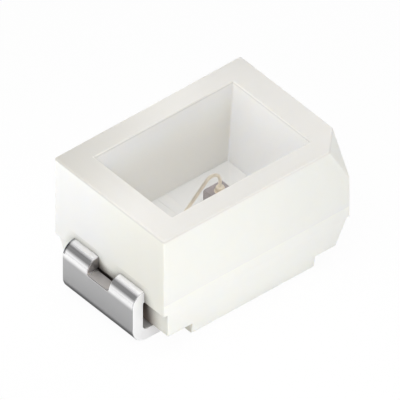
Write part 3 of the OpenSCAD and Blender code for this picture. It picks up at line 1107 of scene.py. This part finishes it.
class LED_OT_wire(bpy.types.Operator):
    """Makes the gold bond wire with its pressed ball and its stitch"""
    bl_idname = "led.wire"
    bl_label = "Bond wire"

    def execute(self, context):
        settings = context.scene.led_wire
        size, finish = in_mm(settings), gold_finish(settings)
        points = self.path(size)
        mesh = bpy.data.meshes.new("wire path")
        mesh.from_pydata([(x, 0, z) for x, z, *_ in points], [(i, i + 1) for i in range(len(points) - 1)], [])
        for column, name in ((2, "girth"), (3, "spread"), (4, "press")):
            layer = mesh.attributes.new(name, "FLOAT", "POINT")
            layer.data.foreach_set("value", [point[column] for point in points])
        piece = new_object("gold_wire", mesh)
        apply_tree(piece, wire_tree(), Wire_Diameter=size.diameter, Sides=size.sides, Landing_Level=FRAME_TOP,
                   Finish=finish)
        reshape(piece, face_outwards)
        smooth(piece, 50)
        finish_piece(piece, "bond_wire", finish)
        return {"FINISHED"}

    def path(self, size):
        """Points on the wire's middle line as [x, z, girth, spread, press]. Girth is the share of the
        wire's own thickness, spread widens the section and press flattens it towards the lead."""
        chip_x, contact = (PAD_LOW.x + PAD_HIGH.x) / 2, PAD_HIGH.z
        ball, wire = size.ball_diameter / 2, size.diameter / 2
        slope, loop, bend = size.slope, size.loop_radius, size.landing_radius
        ball_steps, loop_steps, run_steps, bend_steps, stitch_steps = 8, 40, 12, 8, 10
        points = []
        for step in range(ball_steps + 1):
            rise = size.ball_height / 2 * (2 * step / ball_steps - 1)
            girth = math.sqrt(ball ** 2 - rise ** 2) / wire
            points.append([chip_x, contact + size.ball_height / 2 + rise, girth, 1, 1])
        for rise, girth in NECK:
            points.append([chip_x, contact + size.ball_height + rise, girth, 1, 1])
        middle_x, middle_z = chip_x - loop, contact + size.loop_height - loop
        for step in range(loop_steps + 1):
            turn = (math.pi / 2 + slope) * step / loop_steps
            points.append([middle_x + loop * math.cos(turn), middle_z + loop * math.sin(turn), 1, 1, 1])
        landing = FRAME_TOP + wire
        run_x, run_z = points[-1][:2]
        run = (run_z - landing - bend * (1 - math.cos(slope))) / math.sin(slope)
        for step in range(1, run_steps + 1):
            part = run * step / run_steps
            points.append([run_x - part * math.cos(slope), run_z - part * math.sin(slope), 1, 1, 1])
        stitch = points[-1][0] - bend * math.sin(slope)
        wide, thin = size.stitch_width / size.diameter, size.stitch_tail / size.diameter
        for step in range(1, bend_steps + 1):
            turn = slope * (1 - step / bend_steps)
            spread = LANDING_SPREAD * (step / bend_steps) ** 2
            points.append([stitch + bend * math.sin(turn), landing + bend * (1 - math.cos(turn)), 1,
                           1 + (wide - 1) * spread, 1])
        for step in range(1, stitch_steps + 1):
            along = step / stitch_steps
            eased = along * along * (3 - 2 * along)
            spread = LANDING_SPREAD + (1 - LANDING_SPREAD) * eased
            points.append([stitch - size.stitch_length * along, landing, 1,
                           1 + (wide - 1) * spread, 1 + (thin - 1) * eased])
        return points


class LED_OT_casting(bpy.types.Operator):
    """Makes the clear casting, whose surface sinks a little in the middle"""
    bl_idname = "led.casting"
    bl_label = "Casting"

    def execute(self, context):
        settings = context.scene.led_casting
        size = in_mm(settings)
        housing = in_mm(context.scene.led_housing)
        columns, rows, flatness = 30, 20, 4
        half_x, half_y = cup_halves(CASTING_HIGH.z, housing, size.gap)
        low_x, low_y = cup_halves(FRAME_TOP, housing, size.gap)
        shape = bmesh.new()
        surface = []
        for row in range(rows + 1):
            v = 2 * row / rows - 1
            line = []
            for column in range(columns + 1):
                u = 2 * column / columns - 1
                sink = size.dip * (1 - u ** flatness) * (1 - v ** flatness)
                line.append(shape.verts.new((half_x * u, half_y * v, CASTING_HIGH.z - sink)))
            surface.append(line)
        for near, far in zip(surface, surface[1:]):
            for column in range(columns):
                shape.faces.new((near[column], near[column + 1], far[column + 1], far[column]))
        rim = surface[0][:-1] + [line[-1] for line in surface[:-1]]
        rim += surface[-1][:0:-1] + [line[0] for line in surface[:0:-1]]
        base = [shape.verts.new((v.co.x * low_x / half_x, v.co.y * low_y / half_y, FRAME_TOP + size.gap))
                for v in rim]
        close_between(shape, base, rim)
        shape.faces.new(base[::-1])
        face_outwards(shape)
        piece = object_of("clear_casting", shape)
        smooth(piece, 30)
        finish_piece(piece, "encapsulant", casting_finish(settings))
        return {"FINISHED"}


# Lamps: name, direction towards the lamp, distance, width, height in millimetres, radiance
LAMPS = [
    ("left_up", (-.85, -.1, .6), 9.0, 6.0, 5.0, 1.38),
    ("left_back_near", (-.7, .6, .35), 3.2, 1.6, 1.6, 2.75),
    ("front_left", (-.35, -.9, .4), 4.0, 2.5, 2.5, 0.98),
    ("front_low", (-.15, -1, .06), 4.5, 5.0, 1.2, 2.54),
    ("right_near", (.8, -.2, .8), 4.0, 2.5, 2.5, 1.58),
    ("top", (0, 0, 1), 9.0, 7.0, 7.0, 1.70),
    ("rim_spot", (.11, .42, .9), 1.95, 0.6, 0.6, 4.60),
    ("left_spot", (-.65, -.15, .75), 2.1, 0.8, 0.8, 2.80),
]

# The metal mirrors a room that is bright at its foot, dim on its walls and bright again at its ceiling.
# The walls are dim from the first height to the second, and the ceiling is reached at the third. The
# heights are sines of the angle over the horizon.
WALL_RANGE = (0.38, 0.69, 0.86)

# Where the camera and the lamps point, and how far off the camera stands and sees, in millimetres
TARGET = Vector((-0.0146, 0.0122, 0.674))
CAMERA_DISTANCE = 20
CAMERA_RANGE = (1, 100)


def aim(made, direction, distance):
    """Stands a camera or a lamp at a distance from the target, and turns it there."""
    made.location = (TARGET + direction * distance) * MM
    made.rotation_euler = (-direction).to_track_quat("-Z", "Y").to_euler()


class LED_OT_stage(bpy.types.Operator):
    """Sets the camera, the pale floor, the room and the lamps"""
    bl_idname = "led.stage"
    bl_label = "Stage"

    def execute(self, context):
        settings = context.scene.led_studio
        self.camera(context.scene, settings)
        self.floor(settings)
        self.room(context.scene, settings)
        for name, direction, distance, width, height, radiance in LAMPS:
            self.lamp(name, Vector(direction), distance, width, height, radiance)
        context.scene.view_settings.view_transform = "Standard"
        return {"FINISHED"}

    def camera(self, scene, settings):
        """A camera without perspective, as in the photograph."""
        turn, rise = settings.azimuth, settings.elevation
        back = Vector((math.sin(turn) * math.cos(rise), -math.cos(turn) * math.cos(rise), math.sin(rise)))
        data = bpy.data.cameras.new("camera")
        data.type = "ORTHO"
        data.ortho_scale = settings.view_width
        data.clip_start, data.clip_end = (place * MM for place in CAMERA_RANGE)
        made = new_object("camera", data)
        aim(made, back, CAMERA_DISTANCE)
        scene.camera = made

    def floor(self, settings):
        """A dull pale floor that the camera sees as white, apart from the object's shadow. Near the
        object, metal mirrors the floor as it is lit, and further off as white."""
        mesh = bpy.data.meshes.new("floor")
        corners = centred(settings.floor_size / 2, settings.floor_size / 2)
        mesh.from_pydata([(x, y, 0) for x, y in corners], [], [(0, 1, 2, 3)])
        made = new_object("floor", mesh)
        finish, tree, shader, place = new_finish("white floor")
        set_inputs(tree, shader, Base_Color=(*settings.floor_tint, 1), Roughness=0.9, Specular_IOR_Level=0.1)
        glow = add_node(tree, "ShaderNodeEmission", Color=(1, 1, 1, 1), Strength=1.0).outputs[0]
        paths = tree.nodes.new("ShaderNodeLightPath").outputs
        seen = highest(tree, paths["Is Camera Ray"], paths["Is Transmission Ray"])
        away = add_node(tree, "ShaderNodeVectorMath", {"operation": "LENGTH"}, _0=place).outputs["Value"]
        mirrored = fade(tree, away, 2 * MM, 10 * MM, settings.mirrored_whiteness, 1.0)
        factor = highest(tree, product(tree, seen, settings.whiteness),
                         product(tree, paths["Is Glossy Ray"], mirrored))
        set_inputs(tree, tree.nodes["Material Output"],
                   Surface=mix_shaders(tree, factor, shader.outputs[0], glow))
        mesh.materials.append(finish)

    def room(self, scene, settings):
        """The room's own even light, and the walls that only metal and glass see."""
        world = bpy.data.worlds.new("room")
        world.use_nodes = True
        tree = world.node_tree
        ambient = tree.nodes["Background"]
        set_inputs(tree, ambient, Color=(1, 1, 1, 1), Strength=settings.ambient)
        paths = tree.nodes.new("ShaderNodeLightPath").outputs
        height = parts_of(tree, tree.nodes.new("ShaderNodeTexCoord").outputs["Generated"])["Z"]
        strength = highest(tree, fade(tree, height, 0.0, WALL_RANGE[0], 1.0, settings.walls),
                           fade(tree, height, WALL_RANGE[1], WALL_RANGE[2], settings.walls, 1.0),
                           paths["Is Camera Ray"])
        white = add_node(tree, "ShaderNodeBackground", Color=(1, 1, 1, 1), Strength=strength)
        seen = highest(tree, paths["Is Camera Ray"], paths["Is Transmission Ray"], paths["Is Glossy Ray"])
        set_inputs(tree, tree.nodes["World Output"],
                   Surface=mix_shaders(tree, seen, ambient.outputs[0], white.outputs[0]))
        scene.world = world

    def lamp(self, name, direction, distance, width, height, radiance):
        """A soft rectangular lamp that faces the object. A radiance of 1 is a white surface's."""
        data = bpy.data.lights.new(name, "AREA")
        data.shape = "RECTANGLE"
        data.size, data.size_y = width * MM, height * MM
        data.energy = radiance * math.pi * data.size * data.size_y
        made = new_object("lamp_" + name, data)
        aim(made, direction.normalized(), distance)
        made.visible_camera = False
        made.visible_glossy = False


class LED_PT_panel(bpy.types.Panel):
    """Lists what makes the LED"""
    bl_idname = "LED_PT_panel"
    bl_label = "Surface-mount LED"
    bl_space_type = "VIEW_3D"
    bl_region_type = "UI"
    bl_category = "LED"

    def draw(self, context):
        for maker, name, _ in MAKERS:
            box = self.layout.box()
            box.operator(maker.bl_idname)
            settings = getattr(context.scene, name)
            for prop in own_properties(settings):
                box.prop(settings, prop.identifier)


# Each operator, with the name and the class of its settings
MAKERS = [
    (LED_OT_housing, "led_housing", LED_HousingSettings),
    (LED_OT_leads, "led_lead", LED_LeadSettings),
    (LED_OT_chip, "led_chip", LED_ChipSettings),
    (LED_OT_wire, "led_wire", LED_WireSettings),
    (LED_OT_casting, "led_casting", LED_CastingSettings),
    (LED_OT_stage, "led_studio", LED_StudioSettings),
]


def register():
    for maker, name, group in MAKERS:
        bpy.utils.register_class(group)
        setattr(bpy.types.Scene, name, PointerProperty(type=group))
        bpy.utils.register_class(maker)
    bpy.utils.register_class(LED_PT_panel)


def unregister():
    bpy.utils.unregister_class(LED_PT_panel)
    for maker, name, group in reversed(MAKERS):
        bpy.utils.unregister_class(maker)
        delattr(bpy.types.Scene, name)
        bpy.utils.unregister_class(group)


def main():
    register()
    for maker, *_ in MAKERS:
        group, name = maker.bl_idname.split(".")
        getattr(getattr(bpy.ops, group), name)()


if __name__ == "__main__":
    main()
